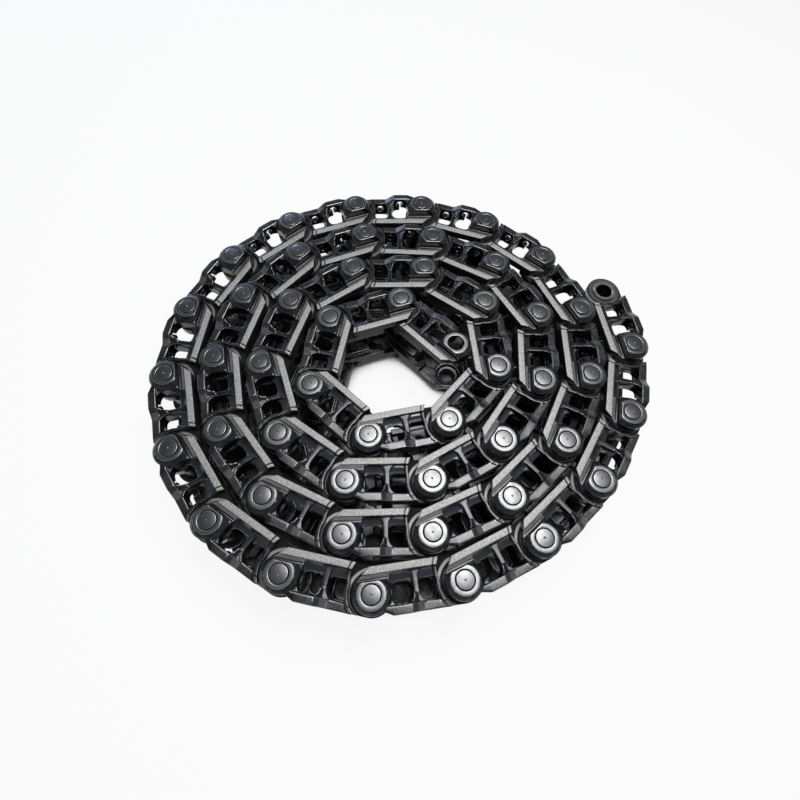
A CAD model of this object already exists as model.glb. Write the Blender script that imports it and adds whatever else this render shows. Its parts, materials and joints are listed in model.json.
# Excavator track chain, rolled up on its side: forged links, bushings, pins and dust seals.
# Link coordinates: x runs from the bushing axis to the pin axis, -y points to the rail, z is along the pins.

import json
import math

import bmesh
import bpy
from mathutils import Matrix, Vector


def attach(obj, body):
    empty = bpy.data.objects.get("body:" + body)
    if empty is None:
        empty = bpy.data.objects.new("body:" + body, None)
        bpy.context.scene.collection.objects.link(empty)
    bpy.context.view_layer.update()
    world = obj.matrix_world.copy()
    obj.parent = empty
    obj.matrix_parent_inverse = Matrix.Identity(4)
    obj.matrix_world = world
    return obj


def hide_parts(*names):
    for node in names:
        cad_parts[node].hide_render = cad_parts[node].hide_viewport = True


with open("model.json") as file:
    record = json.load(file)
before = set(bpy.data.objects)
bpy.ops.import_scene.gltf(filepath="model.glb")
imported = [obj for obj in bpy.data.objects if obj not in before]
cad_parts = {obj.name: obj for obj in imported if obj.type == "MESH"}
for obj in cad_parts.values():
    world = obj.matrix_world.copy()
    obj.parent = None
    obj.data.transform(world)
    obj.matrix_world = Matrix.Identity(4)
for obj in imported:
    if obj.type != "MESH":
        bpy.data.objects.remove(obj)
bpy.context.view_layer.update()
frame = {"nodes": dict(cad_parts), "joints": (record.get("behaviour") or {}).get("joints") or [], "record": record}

MM = 0.001
LINKS = 49
SPLIT_LINKS = (1, 7, 49)
PATTERN_LINK = 7

# Sizes of the machined pieces, as the solids have them
PIN_HALF = 110 * MM
PIN_R = 20.7 * MM
PIN_CHAMFER = 3 * MM
PIN_MARK_R = 2.5 * MM
PIN_MARK_T = 2 * MM
PIN_BORE_R = 20.8 * MM
RING_R = 30 * MM
RING_FLAT = 24 * MM
RING_Z = 109 * MM
RAIL_LOW = 38.5 * MM
FLANGE_TOP = -26.5 * MM
BUSH_END_Z = 66 * MM
PIN_ROOM_R = 49 * MM
RAIL_ROOM_R = 60 * MM
RAIL_ROOM_AT = (-9 * MM, 27 * MM)
STRUT_X = 98 * MM
BUSH_R = 29.8 * MM
BUSH_BORE_R = 21.2 * MM
BUSH_HALF = 70 * MM
BUSH_LEAD = 1.5 * MM
SEAL_IN_R = 22.7 * MM
SEAL_OUT_R = 30.7 * MM
SEAL_LOW = 70.5 * MM
SEAL_HIGH = 76.4 * MM

# Finishes, as the face attribute that the link tree reads
PAINT, TURNED, HARDENED, RUBBER = range(4)


# Small helpers


def hex_colour(text):
    """Linear RGBA of an sRGB hex colour."""

    def linear(value):
        return value / 12.92 if value <= 0.04045 else ((value + 0.055) / 1.055) ** 2.4

    return (*(linear(int(text[i : i + 2], 16) / 255) for i in (1, 3, 5)), 1.0)


def add(tree, kind, fields=(), inputs=()):
    """Adds a node, sets its fields, and sets or links its inputs."""
    node = tree.nodes.new(kind)
    for name, value in dict(fields).items():
        setattr(node, name, value)
    for key, value in dict(inputs).items():
        if isinstance(value, bpy.types.NodeSocket):
            tree.links.new(value, node.inputs[key])
        else:
            node.inputs[key].default_value = value
    return node


def new_object(name, data):
    made = bpy.data.objects.new(name, data)
    bpy.context.scene.collection.objects.link(made)
    return made


def evaluated_mesh(obj):
    """Plain mesh of an object with its modifiers applied. The object goes."""
    shape = bpy.data.meshes.new_from_object(obj.evaluated_get(bpy.context.evaluated_depsgraph_get()))
    bpy.data.objects.remove(obj)
    return shape


# Materials


def material(name):
    made = bpy.data.materials.new(name)
    made.use_nodes = True
    tree = made.node_tree
    tree.nodes.clear()
    shader = add(tree, "ShaderNodeBsdfPrincipled")
    add(tree, "ShaderNodeOutputMaterial", inputs={"Surface": shader.outputs["BSDF"]})
    return made, tree, shader


def black_paint():
    """Graphite-black dip paint on a shot-blasted forging: black in shade, with a metallic sheen where it faces a light.
    The flat sides of the rails are ground and only thinly coated, so they show as pale sandy strips, and the flanges
    are worn a little in the same way. Paint is thin in the scoops, dull on the treads, rubbed off along the edges
    and in an arc under the neighbour's end, and grease keeps the rest of that room dull. The boss under the pin end
    shows only at the open end of the chain."""
    made, tree, shader = material("graphite_black_paint_on_forged_steel")
    place = add(tree, "ShaderNodeTexCoord").outputs["Object"]
    on_link = add(tree, "ShaderNodeAttribute", {"attribute_name": "link_place"}).outputs["Vector"]
    edges, greased = (
        add(tree, "ShaderNodeAttribute", {"attribute_name": name}).outputs["Fac"] for name in ("rubbed", "greased"))
    along, across, height = add(tree, "ShaderNodeSeparateXYZ", inputs={0: on_link}).outputs
    height = add(tree, "ShaderNodeMath", {"operation": "ABSOLUTE"}, {0: height}).outputs[0]
    level = add(tree, "ShaderNodeVectorMath", {"operation": "MULTIPLY"}, {0: on_link, 1: (1, 1, 0)}).outputs[0]
    from_bushing = add(tree, "ShaderNodeVectorMath", {"operation": "LENGTH"}, {0: level}).outputs["Value"]

    # Zones in link coordinates: the most that a layer covers, then each
    # value with the millimetres at which the layer begins and is full
    zones = {
        "scoops": (0.5, (across, -14, -18), (across, -38.5, -37), (height, 64, 68), (height, 86, 83), (along, 40, 46)),
        "slope": (
            0.7, (across, -29.5, -32.5), (across, -37.7, -36.9), (height, 85, 86), (height, 92, 91), (along, 141, 143)),
        "strip": (1.0, (across, -38.3, -39.1), (height, 87, 88.5)),
        "flange": (0.1, (across, 25.5, 27.5), (across, 44.2, 43.4), (height, 80, 83), (along, 152, 147)),
        "step": (0.3, (across, 25.5, 27.5), (across, 44.2, 43.4), (height, 80, 83), (along, 82, 86), (along, 102, 98)),
        "boss": (0.3, (from_bushing, 45, 44), (height, 64, 65.5), (height, 69, 68)),
        "tread": (0.7, (across, -52.6, -53.6)),
        "grease": (1.0, (height, 62, 65), (height, 76, 71), (along, 58, 53), (from_bushing, 40, 42)),
        "arc": (0.7, (height, 62, 65), (height, 76, 71), (from_bushing, 46, 47), (from_bushing, 53.5, 52.5)),
    }
    shares = {}
    for zone, (share, *slopes) in zones.items():
        for value, begins, full in slopes:
            slope = add(tree, "ShaderNodeMapRange", {"interpolation_type": "SMOOTHSTEP"}, {
                "Value": value, "From Min": begins * MM, "From Max": full * MM}).outputs["Result"]
            share = add(tree, "ShaderNodeMath", {"operation": "MULTIPLY"}, {0: share, 1: slope}).outputs[0]
        shares[zone] = share

    grains_mm = {"grit": 3.4, "grain": 1.6, "runs": 28}
    noise = {
        name: add(tree, "ShaderNodeTexNoise", inputs={
            "Vector": place, "Scale": 1 / (size * MM), "Detail": 3.0, "Roughness": 0.6}).outputs["Fac"]
        for name, size in grains_mm.items()}
    tones = {}
    for name, dark, light in (("runs", "#38383a", "#505052"), ("grit", "#848381", "#c4c3c0")):
        share = add(tree, "ShaderNodeMapRange", inputs={"Value": noise[name], "From Min": 0.34, "From Max": 0.68})
        tones[name] = add(tree, "ShaderNodeMix", {"data_type": "RGBA"}, {
            "Factor": share.outputs["Result"], 6: hex_colour(dark), 7: hex_colour(light)}).outputs[2]
    gloss = add(tree, "ShaderNodeMapRange", inputs={
        "Value": noise["runs"], "From Min": 0.3, "From Max": 0.7, "To Min": 0.2, "To Max": 0.3}).outputs["Result"]

    # Layers over the paint: share, colour, metallic and roughness
    bare, grease = hex_colour("#a3a2a0"), hex_colour("#0b0b0c")
    layers = (
        (shares["scoops"], hex_colour("#76797f"), 0.9, 0.42),
        (shares["flange"], tones["grit"], 0.25, 0.5),
        (shares["step"], tones["grit"], 0.25, 0.5),
        (shares["boss"], tones["grit"], 0.25, 0.5),
        (edges, bare, 0.8, 0.34),
        (shares["slope"], tones["grit"], 0.25, 0.5),
        (shares["strip"], tones["grit"], 0.25, 0.5),
        (shares["tread"], hex_colour("#19191a"), 0.3, 0.6),
        (shares["grease"], grease, 0.0, 0.9),
        (greased, grease, 0.0, 0.9),
        (shares["arc"], bare, 0.8, 0.34),
    )
    for column, (name, last) in enumerate((("Base Color", tones["runs"]), ("Metallic", 0.9), ("Roughness", gloss)), 1):
        kind, first, out = ("RGBA", 6, 2) if name == "Base Color" else ("FLOAT", 2, 0)
        for layer in layers:
            last = add(tree, "ShaderNodeMix", {"data_type": kind}, {
                "Factor": layer[0], first: last, first + 1: layer[column]}).outputs[out]
        tree.links.new(last, shader.inputs[name])
    bump = add(tree, "ShaderNodeBump", inputs={"Height": noise["grain"], "Strength": 0.35, "Distance": 0.35 * MM})
    tree.links.new(bump.outputs["Normal"], shader.inputs["Normal"])
    return made


def turned_steel():
    """Pin ends and rings faced on a lathe and blackened by the dip: dark steel that shines where it mirrors a light,
    rubbed bright on its edges."""
    made, tree, shader = material("lathe_turned_steel")
    place = add(tree, "ShaderNodeTexCoord").outputs["Object"]
    radius = add(tree, "ShaderNodeAttribute", {"attribute_name": "turn_radius"}).outputs["Fac"]
    edges = add(tree, "ShaderNodeAttribute", {"attribute_name": "rubbed"}).outputs["Fac"]
    feed_mm = 0.9  # real feed marks are finer, and drawn this coarse so that they show
    turns = add(tree, "ShaderNodeMath", {"operation": "MULTIPLY"}, {0: radius, 1: 2 * math.pi / (feed_mm * MM)})
    marks = add(tree, "ShaderNodeMath", {"operation": "SINE"}, {0: turns.outputs[0]})
    oil_mm = 16
    oil = add(tree, "ShaderNodeTexNoise", inputs={
        "Vector": place, "Scale": 1 / (oil_mm * MM), "Detail": 4.0, "Roughness": 0.6}).outputs["Fac"]
    share = add(tree, "ShaderNodeMapRange", inputs={"Value": oil, "From Min": 0.3, "From Max": 0.72})
    tone = add(tree, "ShaderNodeMix", {"data_type": "RGBA"}, {
        "Factor": share.outputs["Result"], 6: hex_colour("#626263"), 7: hex_colour("#787879")})
    bright = add(tree, "ShaderNodeMix", {"data_type": "RGBA"}, {
        "Factor": edges, 6: tone.outputs[2], 7: hex_colour("#c4c4c3")})
    tree.links.new(bright.outputs[2], shader.inputs["Base Color"])
    gloss = add(tree, "ShaderNodeMapRange", inputs={
        "Value": oil, "From Min": 0.3, "From Max": 0.7, "To Min": 0.36, "To Max": 0.28})
    tree.links.new(gloss.outputs["Result"], shader.inputs["Roughness"])
    bump = add(tree, "ShaderNodeBump", inputs={
        "Height": marks.outputs[0], "Strength": 0.1, "Distance": 0.1 * MM})
    tree.links.new(bump.outputs["Normal"], shader.inputs["Normal"])
    shader.inputs["Metallic"].default_value = 1.0
    return made


def hardened_steel():
    """Case-hardened bushing steel: dark grey from the furnace, smooth, with straw to blue tints."""
    made, tree, shader = material("case_hardened_steel")
    place = add(tree, "ShaderNodeTexCoord").outputs["Object"]
    tint_mm = 22
    tint = add(tree, "ShaderNodeTexNoise", inputs={
        "Vector": place, "Scale": 1 / (tint_mm * MM), "Detail": 3.0, "Roughness": 0.5}).outputs["Fac"]
    share = add(tree, "ShaderNodeMapRange", inputs={"Value": tint, "From Min": 0.3, "From Max": 0.7})
    tone = add(tree, "ShaderNodeMix", {"data_type": "RGBA"}, {
        "Factor": share.outputs["Result"], 6: hex_colour("#3b3d42"), 7: hex_colour("#5d5c5a")})
    tree.links.new(tone.outputs[2], shader.inputs["Base Color"])
    gloss = add(tree, "ShaderNodeMapRange", inputs={
        "Value": tint, "From Min": 0.3, "From Max": 0.7, "To Min": 0.3, "To Max": 0.45})
    tree.links.new(gloss.outputs["Result"], shader.inputs["Roughness"])
    shader.inputs["Metallic"].default_value = 1.0
    return made


def seal_rubber():
    """Nitrile rubber: matt black with a faint bloom."""
    made, tree, shader = material("nitrile_rubber")
    place = add(tree, "ShaderNodeTexCoord").outputs["Object"]
    bloom_mm = 6
    bloom = add(tree, "ShaderNodeTexNoise", inputs={
        "Vector": place, "Scale": 1 / (bloom_mm * MM), "Detail": 2.0})
    share = add(tree, "ShaderNodeMapRange", inputs={
        "Value": bloom.outputs["Fac"], "From Min": 0.35, "From Max": 0.7})
    tone = add(tree, "ShaderNodeMix", {"data_type": "RGBA"}, {
        "Factor": share.outputs["Result"], 6: hex_colour("#0f0f10"), 7: hex_colour("#1c1c1d")})
    tree.links.new(tone.outputs[2], shader.inputs["Base Color"])
    shader.inputs["Roughness"].default_value = 0.75
    return made


paint, steel, bush_steel, rubber = black_paint(), turned_steel(), hardened_steel(), seal_rubber()


# Places of the links in the roll, from the frame


def roll_axes():
    """Axis k is the pin axis of link k, and axis 0 is the free bushing of the outer end."""
    axes = {int(j["name"][-2:]): Vector(j["pos_m"]) for j in frame["joints"]}
    mounts = {m["name"]: Vector(m["pos_m"]) for m in frame["record"]["mounts"]}
    axes[0], axes[LINKS] = mounts["outer_bushing_bore"], mounts["inner_pin_bores"]
    return axes


axes = roll_axes()
PITCH = (axes[PATTERN_LINK] - axes[PATTERN_LINK - 1]).length


def heading(k):
    along = axes[k] - axes[k - 1]
    return math.atan2(along.y, along.x)


def link_place(k):
    return Matrix.Translation(axes[k - 1]) @ Matrix.Rotation(heading(k), 4, "Z")


# Pieces of one link assembly, in link coordinates


def finish_faces(mesh, finish_of, sharp_deg=35):
    """Smooth shading with sharp edges, and each face's finish as an attribute."""
    mesh.shade_smooth()
    mesh.set_sharp_from_angle(angle=math.radians(sharp_deg))
    finish = mesh.attributes.new("finish", "INT", "FACE")
    finish.data.foreach_set("value", [finish_of(f) for f in mesh.polygons])
    return mesh


def mark_rubbed_edges(mesh, may_rub, least=0, from_deg=10, to_deg=19):
    """Marks the faces of outer edges, by how far a face bends away from those round it. The rest gets the least."""
    bm = bmesh.new()
    bm.from_mesh(mesh)
    shares = []
    for face, flat in zip(bm.faces, mesh.polygons):
        round_face = sum(e.calc_length() for e in face.edges)
        bend = sum(e.calc_face_angle_signed(0) * e.calc_length() for e in face.edges) / round_face
        share = (math.degrees(bend) - from_deg) / (to_deg - from_deg)
        shares.append(min(1, max(least, share)) if may_rub(flat) else 0)
    bm.free()
    mesh.attributes.new("rubbed", "FLOAT", "FACE").data.foreach_set("value", shares)
    return mesh


def spun_mesh(name, outlines, centre, finish_of, turns=48, outer_r=None, rubbed=0):
    """Turns closed outlines of (radius, z) round an upright axis. outer_r(angle) may draw in the outer side."""
    trim_from = PIN_BORE_R + 2 * MM
    bm = bmesh.new()
    angles = [2 * math.pi * i / turns for i in range(turns)]
    for outline in outlines:
        rings = []
        for a in angles:
            most = outer_r(a) if outer_r else None
            ring = []
            for r, z in outline:
                if most and r > trim_from:
                    r = min(r, most - (RING_R - r))
                ring.append(bm.verts.new((centre + r * math.cos(a), r * math.sin(a), z)))
            rings.append(ring)
        for i in range(turns):
            here, there = rings[i], rings[(i + 1) % turns]
            for j in range(len(outline)):
                n = (j + 1) % len(outline)
                if outline[j][0] > 0 or outline[n][0] > 0:
                    bm.faces.new((here[j], there[j], there[n], here[n]))
    bmesh.ops.remove_doubles(bm, verts=bm.verts, dist=1e-6)
    bmesh.ops.dissolve_degenerate(bm, edges=bm.edges, dist=1e-7)
    bmesh.ops.recalc_face_normals(bm, faces=bm.faces)
    mesh = bpy.data.meshes.new(name)
    bm.to_mesh(mesh)
    bm.free()
    radius = mesh.attributes.new("turn_radius", "FLOAT", "POINT")
    radius.data.foreach_set("value", [math.hypot(v.co.x - centre, v.co.y) for v in mesh.vertices])
    finish_faces(mesh, finish_of)
    greased = mesh.attributes.new("greased", "FLOAT", "FACE")
    greased.data.foreach_set("value", [float(finish_of(f) == PAINT) for f in mesh.polygons])
    return mark_rubbed_edges(mesh, lambda face: finish_of(face) == TURNED, rubbed)


def round_edge(r, z, radius, outward, steps=4):
    """Quarter round from the end face at z to the wall at r, for an edge that looks outward or into a bore."""
    quarter = [math.pi / 2 * i / steps for i in range(steps + 1)]
    side = 1 if outward else -1
    return [(r - side * radius * (1 - math.sin(a)), z - radius * (1 - math.cos(a))) for a in quarter]


def pin_mesh():
    face_r, edge = PIN_R - PIN_CHAMFER, 0.8 * MM
    upper = [
        (0, PIN_HALF - PIN_MARK_T), (PIN_MARK_R, PIN_HALF),
        *round_edge(face_r + edge, PIN_HALF, edge, True), (PIN_R, PIN_HALF - PIN_CHAMFER)]
    outline = upper + [(r, -z) for r, z in reversed(upper)]

    def finish_of(face):
        return TURNED if abs(face.normal.z) > 0.75 else PAINT

    return spun_mesh("pin", [outline], PITCH, finish_of, rubbed=0.06)


def bushing_mesh():
    in_r, out_r, half, lead = BUSH_BORE_R, BUSH_R, BUSH_HALF, BUSH_LEAD
    outline = [
        (in_r, half - lead), (in_r + lead, half), (out_r - lead, half), (out_r, half - lead),
        (out_r, -half + lead), (out_r - lead, -half), (in_r + lead, -half), (in_r, -half + lead)]

    def finish_of(face):
        return TURNED if abs(face.normal.z) > 0.5 else HARDENED

    return spun_mesh("bushing", [outline], 0.0, finish_of)


def seals_mesh():
    lip = (SEAL_OUT_R - SEAL_IN_R) / 3
    upper = [
        (SEAL_IN_R + lip, SEAL_LOW), (SEAL_OUT_R - lip, SEAL_LOW), (SEAL_OUT_R, SEAL_LOW + lip / 2),
        (SEAL_OUT_R, SEAL_HIGH), (SEAL_IN_R, SEAL_HIGH), (SEAL_IN_R, SEAL_LOW + lip)]
    lower = [(r, -z) for r, z in upper]
    return spun_mesh("seals", [upper, lower], PITCH, lambda face: RUBBER)


def ring_mesh():
    """Machined ring round the pin, with its flat on the rail side."""
    foot, bore_round, rim_round = RING_Z - 4 * MM, 1 * MM, 1.1 * MM
    bore_edge = reversed(round_edge(PIN_BORE_R, RING_Z, bore_round, False))
    rim = round_edge(RING_R, RING_Z, rim_round, True)
    outline = [(PIN_BORE_R, foot), *bore_edge, *rim, (RING_R, foot)]

    def outer_r(angle):
        to_rail = -math.sin(angle)
        return min(RING_R, RING_FLAT / to_rail) if to_rail > 0 else RING_R

    def finish_of(face):
        return TURNED if face.normal.z > 0.3 else PAINT

    return spun_mesh("ring", [outline], PITCH, finish_of, turns=96, outer_r=outer_r, rubbed=0.1)


def add_prism(bm, outline, shift):
    """Closed prism: an outline of points, and the same outline shifted."""
    ends = [[bm.verts.new(Vector(p) + Vector(shift) * side) for p in outline] for side in (0, 1)]
    faces = [bm.faces.new(end) for end in ends]
    for i in range(len(outline)):
        n = (i + 1) % len(outline)
        faces.append(bm.faces.new((ends[0][i], ends[0][n], ends[1][n], ends[1][i])))
    bmesh.ops.recalc_face_normals(bm, faces=faces)


def add_strut(bm):
    """Strut between the two windows, flared where it meets the rail and the flange."""
    middle, waist, flare, top, sunk = (RAIL_LOW + FLANGE_TOP) / 2, 5.5 * MM, 11 * MM, 86 * MM, 72 * MM
    reach = RAIL_LOW - middle
    straight = 0.45

    def half_width(share):
        return waist + flare * (max(0, abs(share) - straight) / (1 - straight)) ** 2

    shares = [i / 10 for i in range(-10, 11)]
    one_side = [(STRUT_X + half_width(s), -(middle + s * reach), sunk) for s in shares]
    other_side = [(STRUT_X - half_width(s), -(middle + s * reach), sunk) for s in reversed(shares)]
    add_prism(bm, one_side + other_side, (0, 0, top - sunk))


def room_reach(angle):
    """From the bushing axis to the edge of the room in which the neighbour's pin end and rail end turn."""
    ahead = Vector((math.cos(angle), math.sin(angle)))
    middle = Vector(RAIL_ROOM_AT)
    along = ahead.dot(middle)
    return max(PIN_ROOM_R, along + math.sqrt(along**2 - middle.length_squared + RAIL_ROOM_R**2))


def add_lip(bm):
    """Round lip along the edge of that room."""
    width, top, sunk = 7 * MM, 85 * MM, 50 * MM
    angles = [math.radians(a) for a in range(-36, 49, 4)]

    def at(angle, more):
        reach = room_reach(angle) + more
        return (reach * math.cos(angle), -reach * math.sin(angle), sunk)

    add_prism(bm, [at(a, 0) for a in angles] + [at(a, width) for a in reversed(angles)], (0, 0, top - sunk))


def sink_lip_groove(skin):
    """Narrow groove that sets the lip off from the rail and the windows."""
    near, far, depth, above, widest = 8 * MM, 10.5 * MM, 5 * MM, 76 * MM, math.radians(50)
    for v in skin.vertices:
        angle = math.atan2(-v.co.y, v.co.x)
        beyond = math.hypot(v.co.x, v.co.y) - room_reach(angle)
        if v.co.z > above and abs(angle) < widest and near < beyond < far:
            v.co.z -= depth


def blunt_flange_end(skin):
    """Draws in the thin wedge at the end of the flange, beside that room, to a blunt rounded end."""
    end, blend, foot, rise, soft_rounds = 31 * MM, 5 * MM, BUSH_END_Z + 1 * MM, 3 * MM, 8
    back = Vector((0.976, -0.217, 0))  # along the flange, away from the room
    bm = bmesh.new()
    bm.from_mesh(skin)
    wedge = [v for v in bm.verts if v.co.x < end + blend and v.co.y > -FLANGE_TOP and v.co.z > foot]
    for v in wedge:
        if v.co.x < end:
            v.co += back * ((end - v.co.x) / back.x) * min(1, (v.co.z - foot) / rise)
    for _ in range(soft_rounds):
        bmesh.ops.smooth_vert(bm, verts=wedge, factor=0.5, use_axis_x=True, use_axis_y=True, use_axis_z=True)
    bm.to_mesh(skin)
    bm.free()


def forged_link_mesh():
    """The forging: a copy of a link's solid with the round edges and soft corners that come out of a die."""
    voxel, soft_rounds, triangles = 1.3 * MM, 8, 12000
    mesh = frame["nodes"][f"link_upper_{PATTERN_LINK:02d}"].data.copy()
    mesh.transform(link_place(PATTERN_LINK).inverted())
    bm = bmesh.new()
    bm.from_mesh(mesh)
    bmesh.ops.remove_doubles(bm, verts=bm.verts, dist=1e-5)
    add_strut(bm)
    add_lip(bm)
    bm.to_mesh(mesh)
    bm.free()
    blank = new_object("forging_blank", mesh)
    remesh = blank.modifiers.new("even_skin", "REMESH")
    remesh.mode, remesh.voxel_size = "VOXEL", voxel
    soften = blank.modifiers.new("die_rounds", "SMOOTH")
    soften.factor, soften.iterations = 0.5, soft_rounds
    skin = evaluated_mesh(blank)
    sink_lip_groove(skin)
    blunt_flange_end(skin)
    ring_seat, seat_r, clean_r = RING_Z - 1.5 * MM, RING_R + 1 * MM, RING_R + 6 * MM
    for v in skin.vertices:
        if v.co.z > ring_seat and math.hypot(v.co.x - PITCH, v.co.y) < seat_r:
            v.co.z = ring_seat
    dense = new_object("forging_skin", skin)
    thin = dense.modifiers.new("fewer_faces", "DECIMATE")
    thin.ratio = triangles / (2 * len(skin.polygons))
    link = evaluated_mesh(dense)
    link.materials.clear()
    place = link.attributes.new("link_place", "FLOAT_VECTOR", "POINT")
    place.data.foreach_set("vector", [c for v in link.vertices for c in v.co])
    finish_faces(link, lambda face: PAINT, sharp_deg=60)
    return mark_rubbed_edges(link, lambda face: math.hypot(face.center.x - PITCH, face.center.y) > clean_r)


patterns = {
    "Forging": new_object("pattern_forging", forged_link_mesh()),
    "Ring": new_object("pattern_ring", ring_mesh()),
    "Bushing": new_object("pattern_bushing", bushing_mesh()),
    "Pin": new_object("pattern_pin", pin_mesh()),
    "Seals": new_object("pattern_seals", seals_mesh()),
}
finishes = {"Paint": paint, "Turned Steel": steel, "Hardened Steel": bush_steel, "Rubber": rubber}
BRANCHES = ("Upper Link", "Lower Link", "With Bushing", "With Pin", "With Seals")


# Tree that puts one link assembly together and sets it in its place


def link_tree():
    tree = bpy.data.node_groups.new("track_link_assembly", "GeometryNodeTree")
    face = tree.interface
    for names, kind in ((patterns, "NodeSocketObject"), (finishes, "NodeSocketMaterial"), (BRANCHES, "NodeSocketBool")):
        for name in names:
            face.new_socket(name, in_out="INPUT", socket_type=kind)
    face.new_socket("Axis", in_out="INPUT", socket_type="NodeSocketVector")
    face.new_socket("Heading", in_out="INPUT", socket_type="NodeSocketFloat")
    face.new_socket("Geometry", in_out="OUTPUT", socket_type="NodeSocketGeometry")
    given = add(tree, "NodeGroupInput").outputs
    shape = {
        name: add(tree, "GeometryNodeObjectInfo", inputs={"Object": given[name]}).outputs["Geometry"]
        for name in patterns}
    row = add(tree, "GeometryNodeJoinGeometry")
    tree.links.new(shape["Forging"], row.inputs[0])
    tree.links.new(shape["Ring"], row.inputs[0])
    mirrored = add(tree, "GeometryNodeTransform", inputs={"Geometry": row.outputs[0], "Scale": (1, 1, -1)})
    lower = add(tree, "GeometryNodeFlipFaces", inputs={"Mesh": mirrored.outputs[0]})
    sources = (row.outputs[0], lower.outputs[0], shape["Bushing"], shape["Pin"], shape["Seals"])
    whole = add(tree, "GeometryNodeJoinGeometry")
    for name, source in zip(BRANCHES, sources):
        chosen = add(tree, "GeometryNodeSwitch", {"input_type": "GEOMETRY"}, {"Switch": given[name], "True": source})
        tree.links.new(chosen.outputs[0], whole.inputs[0])
    turn = add(tree, "ShaderNodeCombineXYZ", inputs={"Z": given["Heading"]})
    placed = add(tree, "GeometryNodeTransform", inputs={
        "Geometry": whole.outputs[0], "Translation": given["Axis"], "Rotation": turn.outputs[0]})
    last = add(tree, "GeometryNodeRealizeInstances", inputs={"Geometry": placed.outputs[0]}).outputs[0]
    finish = add(tree, "GeometryNodeInputNamedAttribute", {"data_type": "INT"}, {"Name": "finish"})
    for number, name in enumerate(finishes):
        chosen = add(tree, "FunctionNodeCompare", {"data_type": "INT", "operation": "EQUAL"}, {
            2: finish.outputs["Attribute"], 3: number})
        last = add(tree, "GeometryNodeSetMaterial", inputs={
            "Geometry": last, "Selection": chosen.outputs[0], "Material": given[name]}).outputs[0]
    add(tree, "NodeGroupOutput", inputs={"Geometry": last})
    return tree


tree = link_tree()
sockets = {item.name: item.identifier for item in tree.interface.items_tree if item.in_out == "INPUT"}


def assembled(name, k, branches):
    """One piece of the roll: the chosen branches of link k as a plain mesh in its place."""
    host = new_object(name + "_host", bpy.data.meshes.new(name + "_host"))
    build = host.modifiers.new("assembly", "NODES")
    build.node_group = tree
    for group in (patterns, finishes):
        for label, value in group.items():
            build[sockets[label]] = value
    for label in BRANCHES:
        build[sockets[label]] = label in branches
    build[sockets["Axis"]] = axes[k - 1]
    build[sockets["Heading"]] = heading(k)
    mesh = evaluated_mesh(host)
    mesh.name = name
    return new_object(name, mesh)


PIECES = (
    ("Upper Link", "upper_link", "link_upper", "link_paint"),
    ("Lower Link", "lower_link", "link_lower", "link_paint"),
    ("With Bushing", "track_bushing", "bushing", "bushing_steel"),
    ("With Pin", "track_pin", "pin", "pin_steel"),
    ("With Seals", "dust_seals", "seals", "seal_rubber"),
)

for k in range(1, LINKS + 1):
    body = f"link_{k:02d}"
    if k in SPLIT_LINKS:
        for branch, piece_name, node, slot in PIECES:
            if f"{node}_{k:02d}" in frame["nodes"]:
                piece = assembled(f"{piece_name}_{k:02d}", k, (branch,))
                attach(piece, body)
                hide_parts(f"{node}_{k:02d}")
    else:
        piece = assembled(f"link_assembly_{k:02d}", k, BRANCHES)
        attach(piece, body)
        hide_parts(f"track_link_{k:02d}")

for pattern in patterns.values():
    bpy.data.objects.remove(pattern)


# Floor, light and camera


def floor_material():
    """Matt white studio floor, which the eye sees as white in the open and as black down in the gaps of the roll."""
    made = bpy.data.materials.new("matt_white_floor")
    made.use_nodes = True
    tree = made.node_tree
    tree.nodes.clear()
    matt = add(tree, "ShaderNodeBsdfDiffuse", inputs={"Color": hex_colour("#ededed")})
    hollow_mm, most_white = 150, 0.9
    open_sky = add(tree, "ShaderNodeAmbientOcclusion", {"samples": 16}, {"Distance": hollow_mm * MM}).outputs["AO"]
    seen_white = add(tree, "ShaderNodeMapRange", {"interpolation_type": "SMOOTHSTEP"}, {
        "Value": open_sky, "From Min": 0.28, "From Max": 0.55})
    white = add(tree, "ShaderNodeEmission", inputs={"Strength": seen_white.outputs["Result"]})
    path = add(tree, "ShaderNodeLightPath").outputs
    seen = path["Is Camera Ray"]
    for kind in ("Is Glossy Ray", "Is Transmission Ray"):
        seen = add(tree, "ShaderNodeMath", {"operation": "MAXIMUM"}, {0: seen, 1: path[kind]}).outputs[0]
    share = add(tree, "ShaderNodeMath", {"operation": "MULTIPLY"}, {0: seen, 1: most_white})
    both = add(tree, "ShaderNodeMixShader", inputs={0: share.outputs[0], 1: matt.outputs[0], 2: white.outputs[0]})
    add(tree, "ShaderNodeOutputMaterial", inputs={"Surface": both.outputs[0]})
    return made


def floor():
    reach = 40.0
    mesh = bpy.data.meshes.new("studio_floor")
    mesh.from_pydata([(x * reach, y * reach, 0) for x, y in ((-1, -1), (1, -1), (1, 1), (-1, 1))], [], [(0, 1, 2, 3)])
    mesh.materials.append(floor_material())
    new_object("studio_floor", mesh)


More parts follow.
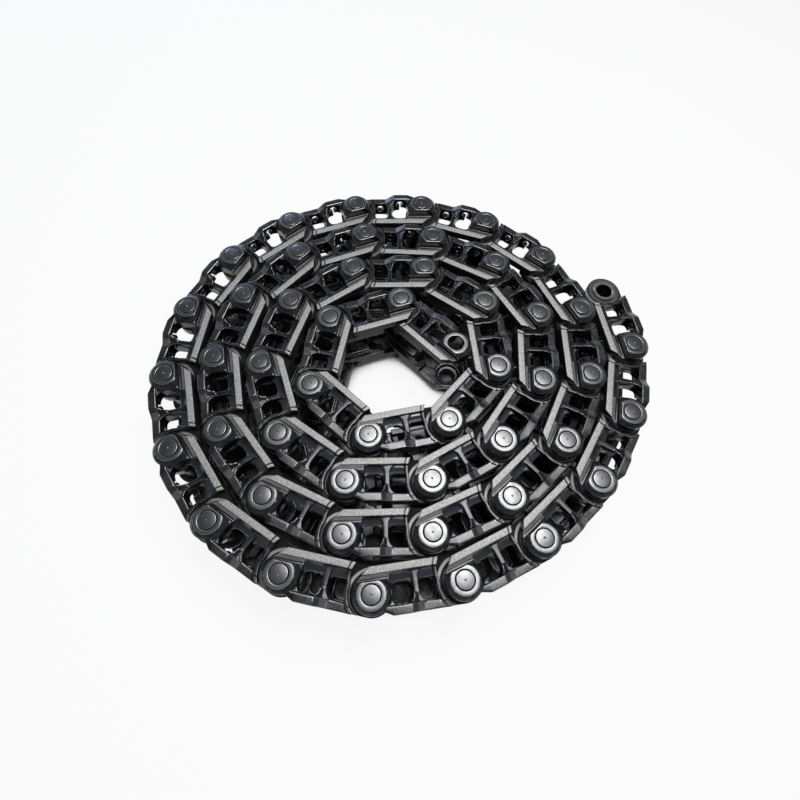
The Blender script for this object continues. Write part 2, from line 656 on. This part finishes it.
def softbox(name, place, target, width, height, watts, colour="#ffffff"):
    data = bpy.data.lights.new(name, "AREA")
    data.color = hex_colour(colour)[:3]
    data.shape, data.size, data.size_y, data.energy = "RECTANGLE", width, height, watts
    lamp = new_object(name, data)
    lamp.location = place
    lamp.rotation_euler = (Vector(target) - Vector(place)).to_track_quat("-Z", "Y").to_euler()


def studio():
    floor()
    softbox(
        "overhead_softbox", place=(0.35, 0.35, 2.6), target=(0.1, 0.0, 0.0), width=1.6, height=1.4, watts=54)
    softbox(
        "window_panel", place=(-2.0, 2.4, 1.3), target=(0.0, 0.0, 0.1), width=1.8, height=1.0, watts=16,
        colour="#b4c9f2")
    world = bpy.data.worlds.new("studio_air")
    bpy.context.scene.world = world
    world.use_nodes = True
    tree = world.node_tree
    tree.nodes.clear()
    towards = add(tree, "ShaderNodeTexCoord").outputs["Generated"]
    rise = add(tree, "ShaderNodeSeparateXYZ", inputs={0: towards}).outputs["Z"]
    high = add(tree, "ShaderNodeMapRange", {"interpolation_type": "SMOOTHSTEP"}, {
        "Value": rise, "From Min": 0.3, "From Max": 0.62})
    tone = add(tree, "ShaderNodeMix", {"data_type": "RGBA"}, {
        "Factor": high.outputs["Result"], 6: hex_colour("#a6afbd"), 7: hex_colour("#6f7073")})
    air = add(tree, "ShaderNodeBackground", inputs={"Color": tone.outputs[2], "Strength": 0.8})
    add(tree, "ShaderNodeOutputWorld", inputs={"Surface": air.outputs[0]})


def camera():
    """Looks down at the roll as the photograph does, from close by with a wide lens."""
    data = bpy.data.cameras.new("photo_camera")
    data.sensor_width, data.lens = 36.0, 20.227
    made = new_object("photo_camera", data)
    place = (0.0783, -0.5049, 1.18696)
    down, roll, turn = math.radians(66.925), math.radians(3.605), math.radians(8.5162)
    right = Vector((1, 0, 0))
    ahead = Vector((0, math.cos(down), -math.sin(down)))
    up = Vector((0, math.sin(down), math.cos(down)))
    across = right * math.cos(roll) + up * math.sin(roll)
    upward = up * math.cos(roll) - right * math.sin(roll)
    view = Matrix((across, upward, -ahead)).transposed()
    made.matrix_world = Matrix.Translation(place) @ Matrix.Rotation(turn, 4, "Z") @ view.to_4x4()
    bpy.context.scene.camera = made


studio()
camera()
bpy.context.scene.view_settings.view_transform = "Standard"
